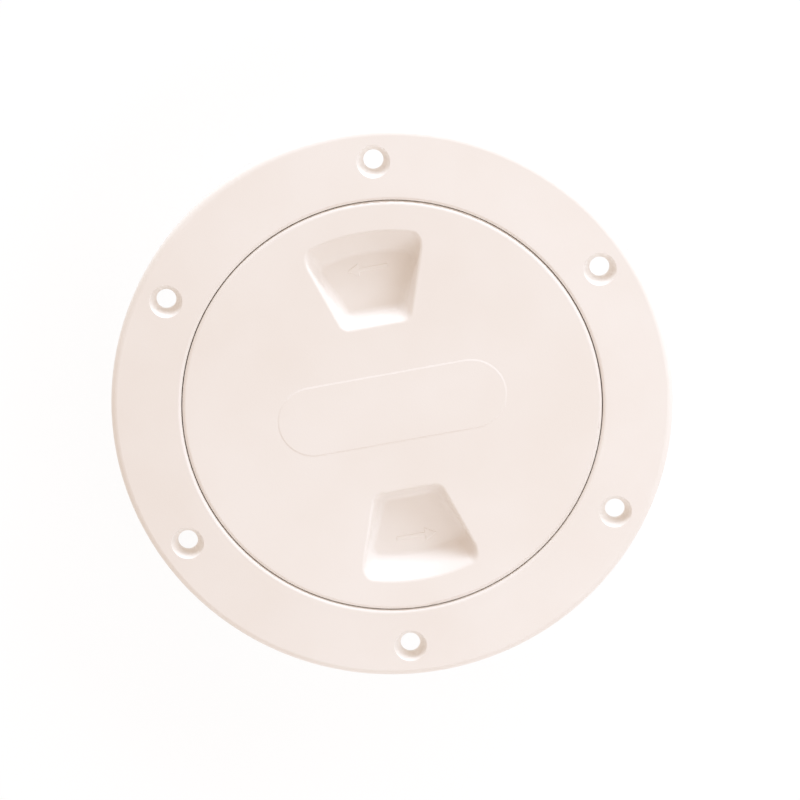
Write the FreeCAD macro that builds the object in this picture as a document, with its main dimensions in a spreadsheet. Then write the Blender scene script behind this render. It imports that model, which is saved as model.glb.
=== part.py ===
"""Screw-out deck hatch: a moulded ring, a lid that screws down flush in it, and the seal ring between.

Millimetres, +Z up. The origin is the centre of the screw circle on the underside of the flange, which
is the face that beds on the deck. A screw hole lies on +Y. Each piece is a body whose sizes are bound
to the sheet "Sizes", and is written to parts/ under its own label.
"""
import FreeCAD, Part
import os
from math import radians
import Sketcher

NEAR = 0.01                    # lengths closer than this count as the same

SIZES = {
    # lid, seen from above
    "lid_diameter": 106.8,
    "lid_thickness": 2.8,
    "lid_edge_round": 1.0,
    "lid_turn": 6.0,           # degrees that the tightened lid's finger wells stand past the screw holes
    "rim_gap": 0.2,            # radial gap between the lid's rim and the ring's recess
    # ring
    "flange_width": 17.9,
    "flange_thickness": 5.2,   # at the recess
    "flange_fall": 1.0,        # how far the flange's top slopes down to its outer edge
    "flange_edge_round": 1.6,
    "recess_edge_round": 0.8,
    "underside_break": 0.4,
    "neck_depth": 19.0,
    "neck_wall": 3.0,
    "neck_end_break": 0.8,
    "cut_overrun": 1.0,        # how far a cut runs on past the face that it comes out of
    # bedding grooves under the flange, one each side of the screw circle
    "bedding_width": 1.6,
    "bedding_depth": 0.5,
    "bedding_inset": 1.9,
    # screw holes
    "screw_count": 6,
    "screw_inset": 8.0,        # from the flange's outer edge to the screw circle
    "screw_bore": 5.1,
    "sink_diameter": 8.5,
    "sink_wall_run": 0.7,
    "sink_wall_drop": 1.9,
    "sink_depth": 3.5,
    # screw thread, one start, right hand
    "thread_lead": 5.0,
    "thread_inset": 2.0,       # from the lid's rim to the crest of its thread
    "thread_depth": 1.6,
    "thread_gap": 0.4,         # radial gap between a crest and the root that it runs in
    "thread_base": 2.8,
    "thread_crest": 1.6,
    "thread_root_sink": 0.5,   # how far a thread's foot is let into its wall
    "thread_start": 2.75,      # from the ring's shoulder down to the middle of its top thread end
    "ring_thread_turns": 1.25,
    "lid_thread_turns": 1.75,
    # skirt under the lid
    "skirt_wall": 2.6,
    "skirt_end_margin": 0.7,
    "skirt_end_break": 0.6,
    # seal ring
    "seal_section": 2.3,
    "seal_gap": 0.05,
    "seal_side_gap": 0.45,
    # finger wells
    "well_count": 2,
    "well_margin": 7.5,        # from the lid's rim to the well's outer edge
    "well_reach": 21.8,        # from the lid's centre to the well's straight inner edge
    "well_inner_width": 17.2,
    "well_outer_width": 31.0,
    "well_depth": 5.5,
    "well_outer_slope": 6.0,
    "well_side_slope": 1.75,
    "well_inner_slope": 2.4,
    "well_corner_round": 2.8,
    "well_floor_round": 2.0,
    "well_lip_round": 0.8,
    "well_wall": 2.0,
    # direction mark on each well's floor
    "mark_reach": 35.6,
    "mark_length": 11.0,
    "mark_width": 4.2,
    "mark_stem": 1.4,
    "mark_head": 3.6,
    "mark_height": 0.15,
    "mark_foot": 0.15,         # how far the mark's foot is let into the floor
    "mark_side_slope": 50.0,   # degrees that the mark's sides lean in
    # oblong pad in the middle of the lid
    "pad_length": 59.0,
    "pad_width": 18.2,
    "pad_height": 0.1,
    "pad_slope": 0.4,          # plan width of the sloping edge all round the pad
    # stiffening ribs and hub under the lid
    "rib_count": 8,
    "rib_thickness": 1.6,
    "rib_drop": 4.0,
    "hub_diameter": 16.0,
    "hub_wall": 2.0,
}

# Heights, radii and outlines that follow from the sizes above, each in the sheet as a formula
PLACES = {
    "lid_radius": "lid_diameter / 2",
    "recess_radius": "lid_radius + rim_gap",
    "flange_radius": "recess_radius + flange_width",
    "screw_radius": "flange_radius - screw_inset",
    "flange_edge": "flange_thickness - flange_fall",
    "sink_top": "flange_edge + flange_fall * screw_inset / flange_width",
    "lid_crest_radius": "lid_radius - thread_inset",
    "lid_root_radius": "lid_crest_radius - thread_depth",
    "ring_root_radius": "lid_crest_radius + thread_gap",
    "neck_radius": "ring_root_radius + neck_wall",
    "neck_end": "-neck_depth",
    "skirt_bore_radius": "lid_root_radius - skirt_wall",
    "seal_radius": "recess_radius - seal_side_gap - seal_section / 2",
    "collar_radius": "seal_radius - seal_section / 2 - seal_gap",
    "lid_under": "flange_thickness - lid_thickness",
    "seal_height": "lid_under - seal_gap - seal_section / 2",
    "shoulder": "seal_height - seal_section / 2 - seal_gap",
    "ring_thread_foot": "shoulder - thread_start - ring_thread_turns * thread_lead",
    # the lid's thread runs midway between the ring's turns, a turn further down than the ring's
    # foot, and is carried round by the angle that the lid is turned
    "lid_thread_foot": "ring_thread_foot - thread_lead / 2 + thread_lead * lid_turn / 360",
    "skirt_end": "lid_thread_foot - thread_base / 2 - skirt_end_margin",
    "well_radius": "lid_radius - well_margin",
    "well_floor": "flange_thickness - well_depth",
    "pan_end": "well_floor - well_wall",
    "rib_end": "lid_under - rib_drop",
}


def bound(text, own=()):
    """An expression in plain names, with each name pointed at the sheet that holds it."""
    words = "".join(c if c.isalnum() or c in "_." else f" {c} " for c in text).split()
    sheets = {**{name: "Places." for name in PLACES}, **{name: "Sizes." for name in SIZES}}
    return " ".join(word if word in own else sheets.get(word, "") + word for word in words)


doc = FreeCAD.newDocument("DeckHatch")

sizes = doc.addObject("Spreadsheet::Sheet", "Sizes")
for row, (alias, number) in enumerate(SIZES.items(), start=1):
    sizes.set(f"A{row}", alias)
    sizes.set(f"B{row}", str(number))
    sizes.setAlias(f"B{row}", alias)
doc.recompute()

places = doc.addObject("Spreadsheet::Sheet", "Places")
for row, alias in enumerate(PLACES, start=1):
    places.set(f"A{row}", alias)
    places.setAlias(f"B{row}", alias)
for row, formula in enumerate(PLACES.values(), start=1):
    places.set(f"B{row}", "=" + bound(formula, own=PLACES))
doc.recompute()


def value(text):
    """The number that an expression in plain names comes to."""
    result = places.evalExpression(bound(text))
    return float(getattr(result, "Value", result))


# ---------------------------------------------------------------- bodies, sketches and features

def new_body(label):
    body = doc.addObject("PartDesign::Body", label)
    body.Label = label
    return body


def origin_feature(body, role):
    return next(item for item in body.Origin.OriginFeatures if item.Role == role)


def new_sketch(body, name, plane, height="0"):
    """A sketch on one of the body's own planes, raised to a height along the plane's normal."""
    sketch = body.newObject("Sketcher::SketchObject", name)
    sketch.AttachmentSupport = (origin_feature(body, plane), [""])
    sketch.MapMode = "FlatFace"
    sketch.setExpression("AttachmentOffset.Base.z", bound(height))
    return sketch


def drive(sketch, constraint, text):
    """Adds a constraint whose value is an expression in plain names."""
    kind, *ends = constraint
    index = sketch.addConstraint(Sketcher.Constraint(kind, *ends, value(text)))
    sketch.setExpression(f"Constraints[{index}]", bound(text))


def outline(sketch, corners, rounded=None):
    """Closed outline through (across, up) corners given as expressions.

    Edge number "rounded", where given, is an arc about the sketch's origin instead of a straight
    edge. Its radius is the expression in its two corners' "up" place.
    """
    first = sketch.GeometryCount
    count = len(corners)
    numbers = []
    for edge, (across, up) in enumerate(corners):
        on_arc = rounded is not None and edge in (rounded, (rounded + 1) % count)
        x, y = value(across), value(up)
        numbers.append((x, (y * y - x * x) ** 0.5 if on_arc else y))
    for edge in range(count):
        start, end = numbers[edge], numbers[(edge + 1) % count]
        a, b = FreeCAD.Vector(*start, 0), FreeCAD.Vector(*end, 0)
        if edge == rounded:
            crown = FreeCAD.Vector(0, value(corners[edge][1]), 0)
            sketch.addGeometry(Part.Arc(a, crown, b), False)
        else:
            sketch.addGeometry(Part.LineSegment(a, b), False)
    # an arc runs counter-clockwise, so one drawn towards +X starts at its far corner
    ends = {edge: (1, 2) for edge in range(count)}
    if rounded is not None and numbers[rounded][0] < numbers[(rounded + 1) % count][0]:
        ends[rounded] = (2, 1)
    for edge in range(count):
        after = (edge + 1) % count
        sketch.addConstraint(Sketcher.Constraint(
            "Coincident", first + edge, ends[edge][1], first + after, ends[after][0]))
    for edge, (across, up) in enumerate(corners):
        point = (first + edge, ends[edge][0])
        drive(sketch, ("DistanceX", -1, 1, *point), across)
        if rounded is None or edge not in (rounded, (rounded + 1) % count):
            drive(sketch, ("DistanceY", -1, 1, *point), up)
    if rounded is not None:
        sketch.addConstraint(Sketcher.Constraint("Coincident", first + rounded, 3, -1, 1))
        drive(sketch, ("Radius", first + rounded), corners[rounded][1])


def circle(sketch, across, up, radius):
    index = sketch.GeometryCount
    centre = FreeCAD.Vector(value(across), value(up), 0)
    sketch.addGeometry(Part.Circle(centre, FreeCAD.Vector(0, 0, 1), value(radius)), False)
    drive(sketch, ("DistanceX", -1, 1, index, 3), across)
    drive(sketch, ("DistanceY", -1, 1, index, 3), up)
    drive(sketch, ("Radius", index), radius)


def stadium(sketch, length, width):
    """Outline with two straight sides along X and a half circle at each end, about the origin."""
    half, radius = value(f"({length}) / 2 - ({width}) / 2"), value(f"({width}) / 2")
    up = FreeCAD.Vector(0, 0, 1)
    first = sketch.GeometryCount
    for side, start in ((1, -90), (-1, 90)):
        round_end = Part.Circle(FreeCAD.Vector(side * half, 0, 0), up, radius)
        sketch.addGeometry(Part.ArcOfCircle(round_end, radians(start), radians(start + 180)), False)
    for side in (1, -1):
        a, b = FreeCAD.Vector(side * half, side * radius, 0), FreeCAD.Vector(-side * half, side * radius, 0)
        sketch.addGeometry(Part.LineSegment(a, b), False)
    right, left, top, bottom = range(first, first + 4)
    for arc, line in ((right, top), (left, bottom)):
        sketch.addConstraint(Sketcher.Constraint("Tangent", arc, 2, line, 1))
    for line, arc in ((top, left), (bottom, right)):
        sketch.addConstraint(Sketcher.Constraint("Tangent", line, 2, arc, 1))
    sketch.addConstraint(Sketcher.Constraint("Horizontal", top))
    drive(sketch, ("Radius", right), f"({width}) / 2")
    drive(sketch, ("DistanceX", -1, 1, right, 3), f"({length}) / 2 - ({width}) / 2")
    drive(sketch, ("DistanceX", left, 3, -1, 1), f"({length}) / 2 - ({width}) / 2")
    sketch.addConstraint(Sketcher.Constraint("PointOnObject", right, 3, -1))


def finished(feature, cuts=None):
    """Recomputes, and sees that a cut took something from the feature that it cuts."""
    doc.recompute()
    if cuts and feature.Shape.Volume >= cuts.Shape.Volume - NEAR:
        raise RuntimeError(f"{feature.Name} cut nothing")
    return feature


def turned(body, kind, sketch, name, axis=None, cuts=None):
    """A Revolution or a Groove all the way round the body's Z axis, or round the sketch's own line."""
    feature = body.newObject(f"PartDesign::{kind}", name)
    feature.Profile = sketch
    feature.ReferenceAxis = axis or (origin_feature(body, "Z_Axis"), [""])
    feature.Angle = 360
    return finished(feature, cuts)


def raised(body, sketch, name, length, lean=None):
    """A Pad of the sketch, with its sides leaning in by an angle where one is given."""
    feature = body.newObject("PartDesign::Pad", name)
    feature.Profile = sketch
    feature.setExpression("Length", bound(length))
    if lean:
        feature.setExpression("TaperAngle", bound(f"-{lean}"))
    return finished(feature)


def lofted(body, kind, sketches, name, cuts=None):
    """An Additive or Subtractive loft with straight walls from the first sketch to the last."""
    feature = body.newObject(f"PartDesign::{kind}Loft", name)
    feature.Profile = sketches[0]
    feature.Sections = sketches[1:]
    feature.Ruled = True
    return finished(feature, cuts)


def repeated(body, original, name, count):
    """The same feature, evenly round the body's Z axis."""
    pattern = body.newObject("PartDesign::PolarPattern", name)
    pattern.Originals = [original]
    pattern.Axis = (origin_feature(body, "Z_Axis"), [""])
    pattern.Angle = 360
    pattern.setExpression("Occurrences", bound(count))
    body.Tip = pattern
    return finished(pattern)


def dressed(body, kind, name, base, wanted, reach):
    """A Fillet or Chamfer, of an expression's size, on each edge of the base that is wanted."""
    picked = [f"Edge{number}" for number, edge in enumerate(base.Shape.Edges, start=1) if wanted(edge)]
    if not picked:
        raise RuntimeError(f"{name} found no edge")
    feature = body.newObject(f"PartDesign::{kind}", name)
    feature.Base = (base, picked)
    feature.setExpression("Radius" if kind == "Fillet" else "Size", bound(reach))
    return finished(feature)


def level_at(edge, height):
    """Tells whether an edge lies flat at a height."""
    z = value(height)
    return abs(edge.BoundBox.ZMin - z) < NEAR and abs(edge.BoundBox.ZMax - z) < NEAR


def circle_at(radius, height):
    """A test for the edges that are circles about the Z axis at a radius and a height."""
    r = value(radius)

    def wanted(edge):
        points = [vertex.Point for vertex in edge.Vertexes]
        return level_at(edge, height) and all(
            abs((p.x ** 2 + p.y ** 2) ** 0.5 - r) < NEAR for p in points)

    return wanted


def helical(body, name, foot, turns, wall, inward):
    """The ridge of a right-hand screw thread, on the inside or the outside of a round wall."""
    out, back = ("-", "+") if inward else ("+", "-")
    sketch = new_sketch(body, f"{name}_section", "XZ_Plane")
    outline(sketch, [
        (f"{wall} {back} thread_root_sink", f"{foot} - thread_base / 2"),
        (wall, f"{foot} - thread_base / 2"),
        (f"{wall} {out} thread_depth", f"{foot} - thread_crest / 2"),
        (f"{wall} {out} thread_depth", f"{foot} + thread_crest / 2"),
        (wall, f"{foot} + thread_base / 2"),
        (f"{wall} {back} thread_root_sink", f"{foot} + thread_base / 2"),
    ])
    doc.recompute()
    plain = body.Tip.Shape.Volume
    feature = body.newObject("PartDesign::AdditiveHelix", name)
    feature.Profile = sketch
    feature.ReferenceAxis = (sketch, ["V_Axis"])
    feature.Mode = "pitch-turns-angle"
    feature.setExpression("Pitch", bound("thread_lead"))
    feature.setExpression("Turns", bound(turns))
    doc.recompute()
    if feature.Shape.Volume <= plain:
        raise RuntimeError(f"{name} added nothing")
    return feature


# ---------------------------------------------------------------- deck_ring

def make_deck_ring():
    """Flange, recess and neck in one turned section, with screw holes and an inside thread."""
    body = new_body("deck_ring")
    section = new_sketch(body, "ring_section", "XZ_Plane")
    outline(section, [
        ("ring_root_radius", "neck_end"),
        ("neck_radius", "neck_end"),
        ("neck_radius", "0"),
        ("flange_radius", "0"),
        ("flange_radius", "flange_edge"),
        ("recess_radius", "flange_thickness"),
        ("recess_radius", "shoulder"),
        ("ring_root_radius", "shoulder"),
    ])
    blank = turned(body, "Revolution", section, "ring_blank")

    bedding = new_sketch(body, "bedding_section", "XZ_Plane")
    for near in ("neck_radius + bedding_inset", "flange_radius - bedding_inset - bedding_width"):
        outline(bedding, [
            (near, "0"),
            (f"{near} + bedding_width / 4", "bedding_depth"),
            (f"{near} + bedding_width * 3 / 4", "bedding_depth"),
            (f"{near} + bedding_width", "0"),
        ])
    blank = turned(body, "Groove", bedding, "bedding_grooves", cuts=blank)

    # one screw hole on +Y, turned about its own upright line, then repeated round the ring
    hole = new_sketch(body, "screw_hole_section", "YZ_Plane")
    outline(hole, [
        ("screw_radius", "-cut_overrun"),
        ("screw_radius + screw_bore / 2", "-cut_overrun"),
        ("screw_radius + screw_bore / 2", "sink_top - sink_depth"),
        ("screw_radius + sink_diameter / 2 - sink_wall_run", "sink_top - sink_wall_drop"),
        ("screw_radius + sink_diameter / 2", "sink_top"),
        ("screw_radius + sink_diameter / 2", "flange_thickness + cut_overrun"),
        ("screw_radius", "flange_thickness + cut_overrun"),
    ])
    drilled = turned(body, "Groove", hole, "screw_hole", (hole, ["Edge7"]), cuts=blank)
    holes = repeated(body, drilled, "screw_holes", "screw_count")

    edge = dressed(body, "Fillet", "flange_edge", holes,
                   circle_at("flange_radius", "flange_edge"), "flange_edge_round")
    edge = dressed(body, "Fillet", "recess_edge", edge,
                   circle_at("recess_radius", "flange_thickness"), "recess_edge_round")
    edge = dressed(body, "Chamfer", "underside_edge", edge,
                   circle_at("flange_radius", "0"), "underside_break")
    dressed(body, "Chamfer", "neck_end_edge", edge,
            circle_at("neck_radius", "neck_end"), "neck_end_break")
    helical(body, "ring_thread", "ring_thread_foot", "ring_thread_turns", "ring_root_radius", inward=True)
    return body


# ---------------------------------------------------------------- screw_out_lid

def well_outline(body, name, height, inset=False, grow="0"):
    """Outline of a finger well on the +Y side: straight sides that spread, and an outer edge that
    follows the lid's rim. Inset takes the slopes of the walls off it, and grow adds to each side."""
    slopes = ("well_side_slope", "well_inner_slope", "well_outer_slope")
    side, inner, outer = slopes if inset else ("0", "0", "0")
    near = f"well_inner_width / 2 - {side} + {grow}"
    far = f"well_outer_width / 2 - {side} + {grow}"
    reach = f"well_reach + {inner} - {grow}"
    edge = f"well_radius - {outer} + {grow}"
    sketch = new_sketch(body, name, "XY_Plane", height)
    outline(sketch, [(f"-({near})", reach), (near, reach), (far, edge), (f"-({far})", edge)], rounded=2)
    return sketch


def make_screw_out_lid():
    """Flat lid with a threaded skirt, two finger wells in pans, ribs, and an oblong pad on top."""
    body = new_body("screw_out_lid")
    section = new_sketch(body, "lid_section", "XZ_Plane")
    outline(section, [
        ("0", "lid_under"),
        ("skirt_bore_radius", "lid_under"),
        ("skirt_bore_radius", "skirt_end"),
        ("lid_root_radius", "skirt_end"),
        ("lid_root_radius", "shoulder"),
        ("collar_radius", "shoulder"),
        ("collar_radius", "lid_under"),
        ("lid_radius", "lid_under"),
        ("lid_radius", "flange_thickness"),
        ("0", "flange_thickness"),
    ])
    turned(body, "Revolution", section, "lid_blank")

    # ribs and hub hang from the middle of the plate's thickness, so that they join it for certain
    rib = new_sketch(body, "rib_section", "XY_Plane", "rib_end")
    outline(rib, [
        ("hub_diameter / 2 - hub_wall / 2", "-rib_thickness / 2"),
        ("skirt_bore_radius + skirt_wall / 2", "-rib_thickness / 2"),
        ("skirt_bore_radius + skirt_wall / 2", "rib_thickness / 2"),
        ("hub_diameter / 2 - hub_wall / 2", "rib_thickness / 2"),
    ])
    rib = raised(body, rib, "rib", "rib_drop + lid_thickness / 2")
    repeated(body, rib, "ribs", "rib_count")
    hub = new_sketch(body, "hub_section", "XY_Plane", "rib_end")
    circle(hub, "0", "0", "hub_diameter / 2")
    circle(hub, "0", "0", "hub_diameter / 2 - hub_wall")
    raised(body, hub, "hub", "rib_drop + lid_thickness / 2")

    # each well's pan hangs under the plate, and the well is then sunk into it
    pan = lofted(body, "Additive", [
        well_outline(body, "pan_top", "flange_thickness - lid_thickness / 2", grow="well_wall"),
        well_outline(body, "pan_bottom", "pan_end", inset=True, grow="well_wall"),
    ], "pan")
    pans = repeated(body, pan, "pans", "well_count")
    well = lofted(body, "Subtractive", [
        well_outline(body, "well_top", "flange_thickness"),
        well_outline(body, "well_bottom", "well_floor", inset=True),
    ], "well", cuts=pans)
    wells = repeated(body, well, "wells", "well_count")

    def well_corner(edge):
        heights = sorted(vertex.Point.z for vertex in edge.Vertexes)
        return (len(heights) == 2 and abs(heights[0] - value("well_floor")) < NEAR
                and abs(heights[1] - value("flange_thickness")) < NEAR)

    def in_well(height):
        def wanted(edge):
            points = [vertex.Point for vertex in edge.Vertexes]
            return level_at(edge, height) and all(
                (p.x ** 2 + p.y ** 2) ** 0.5 < value("well_radius") + NEAR for p in points)
        return wanted

    edge = dressed(body, "Fillet", "well_corners", wells, well_corner, "well_corner_round")
    edge = dressed(body, "Fillet", "well_floors", edge, in_well("well_floor"), "well_floor_round")
    edge = dressed(body, "Fillet", "well_lips", edge, in_well("flange_thickness"), "well_lip_round")
    edge = dressed(body, "Fillet", "lid_edge", edge,
                   circle_at("lid_radius", "flange_thickness"), "lid_edge_round")
    dressed(body, "Chamfer", "skirt_edge", edge, circle_at("lid_root_radius", "skirt_end"),
            "skirt_end_break")

    # plain arrow on each well's floor, pointing the way that the lid turns to open
    mark = new_sketch(body, "mark_section", "XY_Plane", "well_floor - mark_foot")
    stem, half = "mark_reach + mark_stem / 2", "mark_length / 2"
    outline(mark, [
        (half, "mark_reach - mark_stem / 2"),
        (half, stem),
        (f"mark_head - {half}", stem),
        (f"mark_head - {half}", "mark_reach + mark_width / 2"),
        (f"-{half}", "mark_reach"),
        (f"mark_head - {half}", "mark_reach - mark_width / 2"),
        (f"mark_head - {half}", "mark_reach - mark_stem / 2"),
    ])
    mark = raised(body, mark, "mark", "mark_foot + mark_height", lean="mark_side_slope")
    repeated(body, mark, "marks", "well_count")

    # the pad's sloping edge is carried on down inside the plate as far as it stands above it
    foot = new_sketch(body, "pad_foot", "XY_Plane", "flange_thickness - pad_height")
    stadium(foot, "pad_length + 2 * pad_slope", "pad_width + 2 * pad_slope")
    crown = new_sketch(body, "pad_crown", "XY_Plane", "flange_thickness + pad_height")
    stadium(crown, "pad_length - 2 * pad_slope", "pad_width - 2 * pad_slope")
    lofted(body, "Additive", [foot, crown], "pad")

    helical(body, "lid_thread", "lid_thread_foot", "lid_thread_turns", "lid_root_radius", inward=False)
    body.Placement = FreeCAD.Placement(
        FreeCAD.Vector(), FreeCAD.Rotation(FreeCAD.Vector(0, 0, 1), value("lid_turn")))
    body.setExpression("Placement.Rotation.Angle", bound("lid_turn"))
    return body


# ---------------------------------------------------------------- lid_seal_ring

def make_lid_seal_ring():
    """Rubber ring of round section, under the lid's rim and on the ring's shoulder."""
    body = new_body("lid_seal_ring")
    section = new_sketch(body, "seal_ring_section", "XZ_Plane")
    circle(section, "seal_radius", "seal_height", "seal_section / 2")
    turned(body, "Revolution", section, "seal_ring")
    return body


pieces = [make_deck_ring(), make_screw_out_lid(), make_lid_seal_ring()]
doc.recompute()

for item in doc.Objects:
    if {"Invalid", "Error"} & set(item.State):
        raise RuntimeError(f"{item.Name} failed: {item.State}")
for piece in pieces:
    if piece.Shape.isNull() or not piece.Shape.isValid() or len(piece.Shape.Solids) != 1:
        raise RuntimeError(f"{piece.Label} is not one sound solid")

os.makedirs("parts", exist_ok=True)
for piece in pieces:
    piece.Shape.exportStep(f"parts/{piece.Label}.step")
    box = piece.Shape.BoundBox
    print(f"{piece.Label}: {piece.Shape.Volume / 1000:.2f} cm3,"
          f" {box.XLength:.1f} x {box.YLength:.1f} x {box.ZLength:.1f} mm")
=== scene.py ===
from math import cos, radians, sin

import bmesh
import bpy
from bpy.props import FloatProperty, FloatVectorProperty, PointerProperty
from bpy.types import Operator, Panel, PropertyGroup
from mathutils import Euler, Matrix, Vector


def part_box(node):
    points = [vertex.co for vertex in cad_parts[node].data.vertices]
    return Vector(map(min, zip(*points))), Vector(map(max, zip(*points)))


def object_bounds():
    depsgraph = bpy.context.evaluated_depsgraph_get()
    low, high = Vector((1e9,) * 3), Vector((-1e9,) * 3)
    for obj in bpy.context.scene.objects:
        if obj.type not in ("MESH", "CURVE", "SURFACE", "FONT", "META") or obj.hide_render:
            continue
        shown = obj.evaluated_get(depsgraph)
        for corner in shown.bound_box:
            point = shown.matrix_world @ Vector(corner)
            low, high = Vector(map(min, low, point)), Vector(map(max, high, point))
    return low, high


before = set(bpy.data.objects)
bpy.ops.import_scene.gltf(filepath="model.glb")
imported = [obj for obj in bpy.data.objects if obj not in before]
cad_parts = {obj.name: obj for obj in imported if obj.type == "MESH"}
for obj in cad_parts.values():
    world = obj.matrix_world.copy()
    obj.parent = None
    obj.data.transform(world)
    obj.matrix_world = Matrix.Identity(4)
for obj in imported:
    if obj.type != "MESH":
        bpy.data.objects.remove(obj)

bl_info = {
    "name": "Screw-out deck hatch",
    "version": (1, 0, 0),
    "blender": (4, 5, 0),
    "location": "3D View > Sidebar > Deck Hatch",
    "description": "Finishes the packed deck hatch's moulded pieces and lights it on a pale floor",
    "category": "Object",
}

CAD_LOW, CAD_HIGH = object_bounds()
FLANGE_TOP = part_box("deck_ring")[1].z


# ------------------------------------------------------------------ sizes and colours

def colour(name, description, default):
    return FloatVectorProperty(name=name, description=description, default=default,
                               subtype="COLOR", size=3, min=0.0, max=1.0)


def length(name, description, default):
    return FloatProperty(name=name, description=description, default=default,
                         subtype="DISTANCE", unit="LENGTH")


def angle(name, description, degrees):
    return FloatProperty(name=name, description=description, default=radians(degrees),
                         subtype="ANGLE", unit="ROTATION")


def share(name, description, default):
    return FloatProperty(name=name, description=description, default=default,
                         min=0.0, max=1.0, subtype="FACTOR")


class DeckHatchPlastic(PropertyGroup):
    """The moulded plastic of the ring and the lid."""
    tint: colour("Tint", "Colour of the clean plastic", (0.89, 0.845, 0.795))
    cloud_tint: colour("Cloud tint", "Colour where the pigment is a little thicker",
                       (0.865, 0.81, 0.75))
    cloud_size: length("Cloud size", "Size of the faint pigment clouds", 0.03)
    wave_size: length("Wave size", "Size of the slow waves that cooling leaves in the surface", 0.012)
    wave_height: length("Wave height", "Height of those waves", 0.000048)
    grain_size: length("Grain size", "Pitch of the mould's spark-eroded grain", 0.00045)
    grain_height: length("Grain height", "Depth of the grain", 0.000012)
    speck_size: length("Speck size", "Size of the specks where the gloss differs", 0.0018)
    roughness: share("Roughness", "Roughness of the satin surface", 0.42)
    cloud_gloss: share("Cloud gloss", "How much the roughness differs between the clouds", 0.10)
    speck_gloss: share("Speck gloss", "How much the roughness differs between the specks", 0.06)
    shine: share("Shine", "Strength of the surface's reflection", 0.45)


class DeckHatchRubber(PropertyGroup):
    """The rubber of the seal ring."""
    tint: colour("Tint", "Colour of the clean rubber", (0.022, 0.022, 0.023))
    bloom_tint: colour("Bloom tint", "Colour of the faint grey bloom", (0.06, 0.06, 0.06))
    bloom_size: length("Bloom size", "Size of the patches of bloom", 0.006)
    grain_size: length("Grain size", "Pitch of the cast surface's grain", 0.0003)
    grain_height: length("Grain height", "Depth of the grain", 0.00001)
    roughness: share("Roughness", "Roughness of the clean rubber", 0.62)
    bloom_roughness: share("Bloom roughness", "What the bloom adds to the roughness", 0.15)


class DeckHatchStage(PropertyGroup):
    """Camera, floor and light from all round."""
    tilt: angle("Tilt", "How far the camera leans off the plumb line", 13.42)
    lean: angle("Lean", "Sideways lean of the camera", 0.477)
    turn: angle("Turn", "How far the hatch is turned under the camera", 4.25)
    distance: length("Distance", "From the camera to the middle of the hatch", 0.9962)
    offset: FloatVectorProperty(name="Offset", description="Camera's place beside the hatch's middle",
                                default=(0.00197, 0.0020), size=2, subtype="TRANSLATION",
                                unit="LENGTH")
    lens: FloatProperty(name="Lens", description="Focal length in millimetres",
                        default=176.4, min=1.0)
    sensor: FloatProperty(name="Sensor", description="Width of the sensor in millimetres",
                          default=36.0, min=1.0)
    near_clip: length("Near clip", "Nearest thing that the camera shows", 0.05)
    far_clip: length("Far clip", "Farthest thing that the camera shows", 20.0)
    floor_tint: colour("Floor tint", "Colour of the floor", (0.15, 0.15, 0.15))
    floor_size: length("Floor size", "Side of the square floor", 6.0)
    floor_drop: length("Floor drop", "Air between the hatch and the floor", 0.0002)
    floor_glow: FloatProperty(name="Floor glow", description="Light that the floor gives off",
                              default=0.84, min=0.0)
    fibre_size: length("Fibre size", "Size of the floor paper's faint blotches", 0.02)
    fibre_tone: share("Fibre tone", "Brightness of the blotches beside the rest", 0.985)
    floor_roughness: share("Floor roughness", "Roughness of the floor paper", 0.7)
    box_tint: colour("Box tint", "Colour of the soft boxes", (0.68, 0.82, 1.0))
    room_tint: colour("Room tint", "Colour of the soft light from all round", (1.0, 0.845, 0.744))
    room_light: FloatProperty(name="Room light", description="Strength of the light from all round",
                              default=0.74, min=0.0)


# ------------------------------------------------------------------ shader building

class Signal:
    """A number socket of a shader, usable in arithmetic. Each operation adds one Math node."""

    def __init__(self, finish, socket):
        self.finish = finish
        self.socket = socket

    def maths(self, operation, *operands):
        node = self.finish.node("ShaderNodeMath", {"operation": operation},
                                dict(enumerate(operands)))
        return Signal(self.finish, node.outputs[0])

    def __add__(self, other):
        return self.maths("ADD", self, other)

    def __sub__(self, other):
        return self.maths("SUBTRACT", self, other)

    def __rsub__(self, other):
        return self.maths("SUBTRACT", other, self)

    def __mul__(self, other):
        return self.maths("MULTIPLY", self, other)

    __radd__ = __add__
    __rmul__ = __mul__


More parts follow.
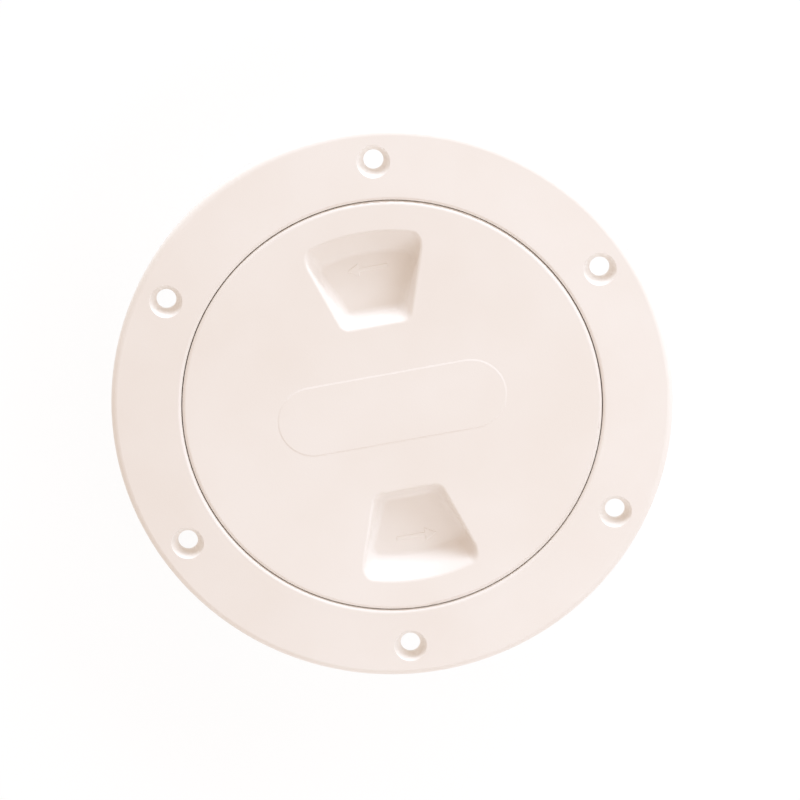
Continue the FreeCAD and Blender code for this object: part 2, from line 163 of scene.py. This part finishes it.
class Finish:
    """One material's node tree."""

    def __init__(self, name):
        self.material = bpy.data.materials.new(name)
        self.material.use_nodes = True
        self.tree = self.material.node_tree
        self.tree.nodes.clear()
        self.place = self.node("ShaderNodeTexCoord").outputs["Object"]

    def node(self, kind, settings=None, inputs=None):
        """Adds a node, applies its settings, then sets or links its inputs."""
        node = self.tree.nodes.new(kind)
        for key, setting in (settings or {}).items():
            setattr(node, key, setting)
        for key, given in (inputs or {}).items():
            source = given.socket if isinstance(given, Signal) else given
            if isinstance(source, bpy.types.NodeSocket):
                self.tree.links.new(source, node.inputs[key])
            elif node.inputs[key].type == "RGBA":
                node.inputs[key].default_value = (*source, 1.0)
            else:
                node.inputs[key].default_value = source
        return node

    def noise(self, size, detail=2.0, roughness=0.5):
        """Even noise between 0 and 1 whose blotches are about size metres across."""
        node = self.node("ShaderNodeTexNoise", {"noise_dimensions": "3D"}, {
            "Vector": self.place, "Scale": 1.0 / size, "Detail": detail, "Roughness": roughness})
        return Signal(self, node.outputs["Fac"])

    def spread(self, signal, low, high):
        """Stretches the part of a signal between low and high over 0 to 1."""
        node = self.node("ShaderNodeMapRange", {"clamp": True}, {
            "Value": signal, "From Min": low, "From Max": high})
        return Signal(self, node.outputs[0])

    def blend(self, factor, first, second):
        """Colour that goes from the first to the second with the factor."""
        node = self.node("ShaderNodeMix", {"data_type": "RGBA"}, {0: factor, 6: first, 7: second})
        return node.outputs[2]

    def bump(self, height, depth, under=None):
        """Normal of a relief depth metres deep, laid over another relief's normal if one is given."""
        inputs = {"Height": height, "Distance": depth, "Strength": 1.0}
        if under is not None:
            inputs["Normal"] = under
        return self.node("ShaderNodeBump", None, inputs).outputs["Normal"]

    def close(self, inputs):
        """Ends the tree in a Principled shader with these inputs."""
        shader = self.node("ShaderNodeBsdfPrincipled", None, inputs)
        self.node("ShaderNodeOutputMaterial", None, {"Surface": shader.outputs[0]})
        return self.material


def plastic(name, look):
    """Satin moulded plastic: faint pigment clouds, slow waves, fine grain, slightly uneven gloss."""
    finish = Finish(name)
    clouds = finish.noise(look.cloud_size, detail=3.0)
    specks = finish.noise(look.speck_size, detail=1.0)
    tint = finish.blend(finish.spread(clouds, 0.35, 0.7), tuple(look.tint), tuple(look.cloud_tint))
    waves = finish.bump(finish.noise(look.wave_size, detail=0.0), look.wave_height)
    grain = finish.noise(look.grain_size, roughness=0.6)
    return finish.close({
        "Base Color": tint,
        "Roughness": (look.roughness + look.cloud_gloss * (clouds - 0.5)
                      + look.speck_gloss * (specks - 0.5)),
        "Normal": finish.bump(grain, look.grain_height, under=waves),
        "Specular IOR Level": look.shine,
    })


def rubber(name, look):
    """Matt black rubber with a faint grey bloom and a fine cast surface."""
    finish = Finish(name)
    bloom = finish.spread(finish.noise(look.bloom_size, detail=4.0), 0.45, 0.75)
    return finish.close({
        "Base Color": finish.blend(bloom, tuple(look.tint), tuple(look.bloom_tint)),
        "Roughness": look.roughness + look.bloom_roughness * bloom,
        "Normal": finish.bump(finish.noise(look.grain_size), look.grain_height),
    })


def floor_paper(stage):
    """White paper that glows evenly, with the faintest blotches."""
    finish = Finish("floor_paper")
    blotches = finish.noise(stage.fibre_size, detail=4.0)
    darker = tuple(stage.fibre_tone * channel for channel in stage.floor_tint)
    return finish.close({
        "Base Color": finish.blend(blotches, tuple(stage.floor_tint), darker),
        "Roughness": stage.floor_roughness,
        "Emission Color": (1.0, 1.0, 1.0),
        "Emission Strength": stage.floor_glow,
    })


# ------------------------------------------------------------------ one operator for each piece

def dress(node_name, material):
    """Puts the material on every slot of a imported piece."""
    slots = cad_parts[node_name].material_slots
    if not slots:
        raise RuntimeError(node_name + " has no material slot to fill")
    for slot in slots:
        slot.material = material


class DECKHATCH_OT_deck_ring(Operator):
    """Give the deck ring its moulded plastic"""
    bl_idname = "deckhatch.deck_ring"
    bl_label = "Finish Deck Ring"

    def execute(self, context):
        dress("deck_ring", plastic("ring_moulding", context.scene.deckhatch_plastic))
        return {"FINISHED"}


class DECKHATCH_OT_screw_out_lid(Operator):
    """Give the lid its moulded plastic"""
    bl_idname = "deckhatch.screw_out_lid"
    bl_label = "Finish Screw-out Lid"

    def execute(self, context):
        dress("screw_out_lid", plastic("lid_moulding", context.scene.deckhatch_plastic))
        return {"FINISHED"}


class DECKHATCH_OT_lid_seal_ring(Operator):
    """Give the seal ring its rubber"""
    bl_idname = "deckhatch.lid_seal_ring"
    bl_label = "Finish Seal Ring"

    def execute(self, context):
        dress("lid_seal_ring", rubber("seal_rubber", context.scene.deckhatch_rubber))
        return {"FINISHED"}


# ------------------------------------------------------------------ stage

# Soft boxes round the hatch: bearing from +X and height above the flange in degrees, distance, width
# and height in metres, and watts
SOFT_BOXES = {
    "key_box": (80.0, 14.0, 1.5, 1.2, 0.35, 16.0),
    "side_box": (40.0, 24.0, 1.5, 1.2, 0.35, 6.0),
    "fill_box": (330.0, 35.0, 0.8, 0.6, 0.3, 1.0),
    "back_box": (240.0, 20.0, 0.9, 0.6, 0.3, 0.4),
    "near_box": (285.0, 40.0, 0.35, 0.2, 0.15, 0.18),
}


class DECKHATCH_OT_stage(Operator):
    """Lay the floor and set up the lights and the camera"""
    bl_idname = "deckhatch.stage"
    bl_label = "Build Stage"

    def execute(self, context):
        stage = context.scene.deckhatch_stage
        middle = Vector((0.0, 0.0, FLANGE_TOP))
        self.lay_floor(context, stage)
        for name, box in SOFT_BOXES.items():
            self.hang_box(context, stage, middle, name, *box)
        self.fill_room(context, stage)
        self.place_camera(context, stage, middle)
        context.scene.view_settings.view_transform = "Standard"
        return {"FINISHED"}

    def lay_floor(self, context, stage):
        mesh = bpy.data.meshes.new("floor")
        bm = bmesh.new()
        bmesh.ops.create_grid(bm, x_segments=1, y_segments=1, size=stage.floor_size / 2)
        bm.to_mesh(mesh)
        bm.free()
        mesh.materials.append(floor_paper(stage))
        floor = bpy.data.objects.new("floor", mesh)
        floor.location.z = CAD_LOW.z - stage.floor_drop
        context.scene.collection.objects.link(floor)

    def hang_box(self, context, stage, middle, name, bearing, rise, distance, width, height, watts):
        lamp = bpy.data.lights.new(name, "AREA")
        lamp.shape = "RECTANGLE"
        lamp.size, lamp.size_y = width, height
        lamp.energy = watts
        lamp.color = stage.box_tint
        away = Vector((cos(radians(bearing)) * cos(radians(rise)),
                       sin(radians(bearing)) * cos(radians(rise)), sin(radians(rise))))
        box = bpy.data.objects.new(name, lamp)
        box.location = middle + distance * away
        box.rotation_euler = away.to_track_quat("Z", "Y").to_euler()
        context.scene.collection.objects.link(box)

    def fill_room(self, context, stage):
        room = bpy.data.worlds.new("soft_room")
        room.use_nodes = True
        light = room.node_tree.nodes["Background"].inputs
        light["Color"].default_value = (*stage.room_tint, 1.0)
        light["Strength"].default_value = stage.room_light
        context.scene.world = room

    def place_camera(self, context, stage, middle):
        lens = bpy.data.cameras.new("camera")
        lens.lens = stage.lens
        lens.sensor_width = stage.sensor
        lens.clip_start, lens.clip_end = stage.near_clip, stage.far_clip
        camera = bpy.data.objects.new("camera", lens)
        camera.rotation_euler = Euler((-stage.tilt, -stage.lean, -stage.turn))
        away = Vector((*stage.offset, stage.distance))
        camera.location = middle + camera.rotation_euler.to_matrix() @ away
        context.scene.collection.objects.link(camera)
        context.scene.camera = camera


# ------------------------------------------------------------------ sidebar panel and registration

PIECE_OPERATORS = (DECKHATCH_OT_deck_ring, DECKHATCH_OT_screw_out_lid, DECKHATCH_OT_lid_seal_ring)


class DECKHATCH_PT_sidebar(Panel):
    """Lists the hatch's pieces and its stage"""
    bl_idname = "DECKHATCH_PT_sidebar"
    bl_label = "Deck Hatch"
    bl_space_type = "VIEW_3D"
    bl_region_type = "UI"
    bl_category = "Deck Hatch"

    def draw(self, context):
        for operator in (*PIECE_OPERATORS, DECKHATCH_OT_stage):
            self.layout.operator(operator.bl_idname)


GROUPS = {
    "deckhatch_plastic": DeckHatchPlastic,
    "deckhatch_rubber": DeckHatchRubber,
    "deckhatch_stage": DeckHatchStage,
}
CLASSES = (*GROUPS.values(), *PIECE_OPERATORS, DECKHATCH_OT_stage, DECKHATCH_PT_sidebar)


def register():
    for item in CLASSES:
        bpy.utils.register_class(item)
    for name, group in GROUPS.items():
        setattr(bpy.types.Scene, name, PointerProperty(type=group))


def unregister():
    for name in GROUPS:
        delattr(bpy.types.Scene, name)
    for item in reversed(CLASSES):
        bpy.utils.unregister_class(item)


def main():
    register()
    bpy.ops.deckhatch.stage()
    bpy.ops.deckhatch.deck_ring()
    bpy.ops.deckhatch.screw_out_lid()
    bpy.ops.deckhatch.lid_seal_ring()


if __name__ == "__main__":
    main()
